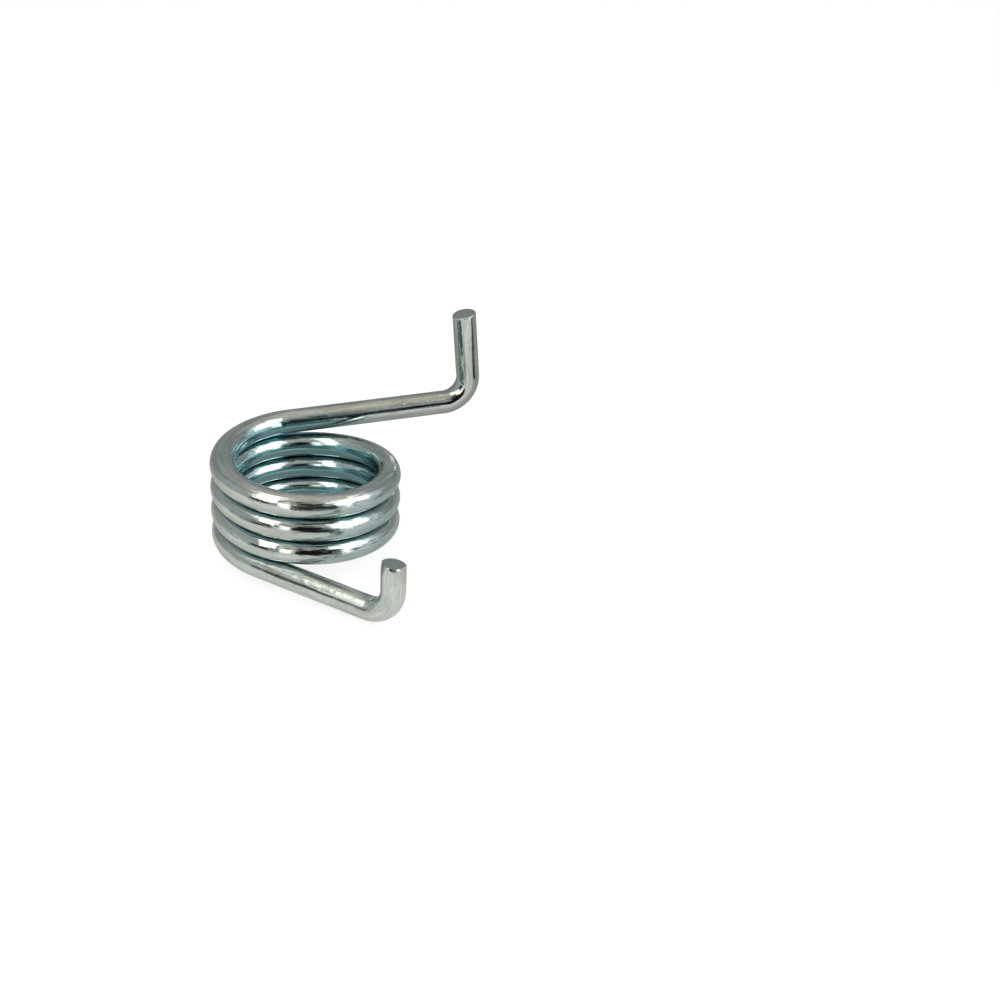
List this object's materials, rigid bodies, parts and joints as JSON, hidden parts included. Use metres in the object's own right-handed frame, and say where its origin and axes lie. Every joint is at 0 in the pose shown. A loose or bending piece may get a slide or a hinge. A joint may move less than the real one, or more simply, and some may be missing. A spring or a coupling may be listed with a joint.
{
  "type": "torsion spring",
  "caption": "Close-wound torsion spring in round wire, with a long leg and a short leg that each end in an upturned tail.",
  "frame": {"origin": "middle of the close-wound body, on the coil axis", "axes": "+Z along the coil axis, the way the tails point; +X the way the long leg runs where it leaves the body at +Y"},
  "size_m": [0.036, 0.0332, 0.0259],
  "materials": {
    "plated_spring_wire": "bright zinc-plated cold-drawn spring wire, cut faces dull grey"
  },
  "bodies": {
    "root": {"spring_wire": "plated_spring_wire"}
  },
  "joints": []
}
